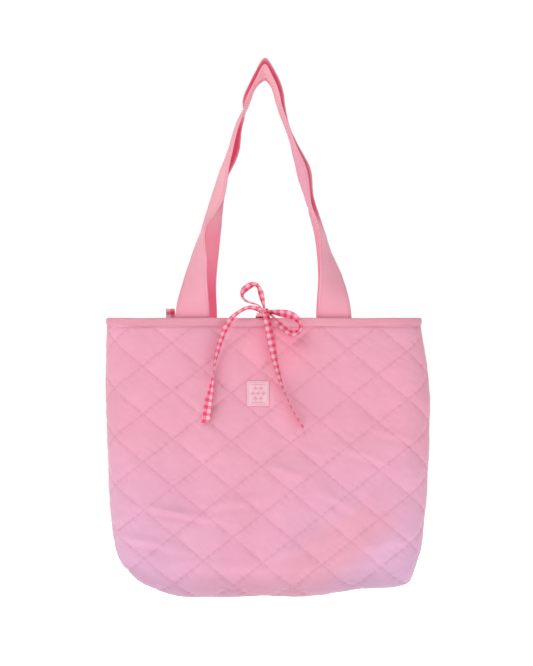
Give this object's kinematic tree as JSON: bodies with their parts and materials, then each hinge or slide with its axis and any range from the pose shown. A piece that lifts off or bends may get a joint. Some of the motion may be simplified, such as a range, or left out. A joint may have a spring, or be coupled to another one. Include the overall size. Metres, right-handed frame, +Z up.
{
  "type": "skate bag",
  "caption": "Quilted fabric tote with two long shoulder straps, a turned hem and a ribbon bow that ties the open mouth",
  "frame": {"origin": "the underside of both straps at the top of their arch, where a hook or peg carries the bag", "axes": "+Z up along the hanging bag, -Y towards the front face with the label, +X to the right seen from the front"},
  "size_m": [0.4053, 0.087, 0.6723],
  "materials": {
    "outer_cotton": "plain-woven pink cotton, quilted",
    "wadding": "soft polyester wadding",
    "lining_cotton": "plain-woven pink cotton",
    "strap_cotton": "folded pink cotton, edge stitched",
    "gingham_ribbon": "woven pink and white gingham ribbon",
    "label_weave": "woven satin label",
    "sewing_thread": "matt spun thread"
  },
  "bodies": {
    "bag": {"front_outer_panel": "outer_cotton", "back_outer_panel": "outer_cotton", "front_wadding": "wadding", "back_wadding": "wadding", "front_lining": "lining_cotton", "back_lining": "lining_cotton", "front_hem": "outer_cotton", "back_hem": "outer_cotton", "front_facing": "lining_cotton", "back_facing": "lining_cotton", "front_hem_topstitch": "sewing_thread", "back_hem_topstitch": "sewing_thread", "front_handle_ends": "strap_cotton", "back_handle_ends": "strap_cotton", "left_seam_binding": "lining_cotton", "right_seam_binding": "lining_cotton", "base_seam_binding": "lining_cotton", "woven_label": "label_weave", "label_stitches": "sewing_thread", "front_tie": "gingham_ribbon", "back_tie": "gingham_ribbon", "bow_knot": "gingham_ribbon", "bow_loop_left": "gingham_ribbon", "bow_loop_right": "gingham_ribbon", "key_loop": "gingham_ribbon"},
    "front_handle": {"front_handle": "strap_cotton"},
    "back_handle": {"back_handle": "strap_cotton"},
    "left_tail": {"bow_tail_left": "gingham_ribbon"},
    "right_tail": {"bow_tail_right": "gingham_ribbon"}
  },
  "joints": [
    {"name": "front_handle_flip", "type": "hinge", "parent": "bag", "child": "front_handle", "pos_m": [0, -0.0272, -0.2966], "axis": [1, 0, 0], "range_deg": [0, 120]},
    {"name": "back_handle_flip", "type": "hinge", "parent": "bag", "child": "back_handle", "pos_m": [0, 0.0272, -0.2966], "axis": [-1, 0, 0], "range_deg": [0, 120]},
    {"name": "left_tail_lift", "type": "hinge", "parent": "bag", "child": "left_tail", "pos_m": [-0.008, -0.0375, -0.279], "axis": [-1, 0, 0], "range_deg": [0, 30]},
    {"name": "right_tail_lift", "type": "hinge", "parent": "bag", "child": "right_tail", "pos_m": [0.002, -0.034, -0.293], "axis": [-1, 0, 0], "range_deg": [0, 30]}
  ]
}
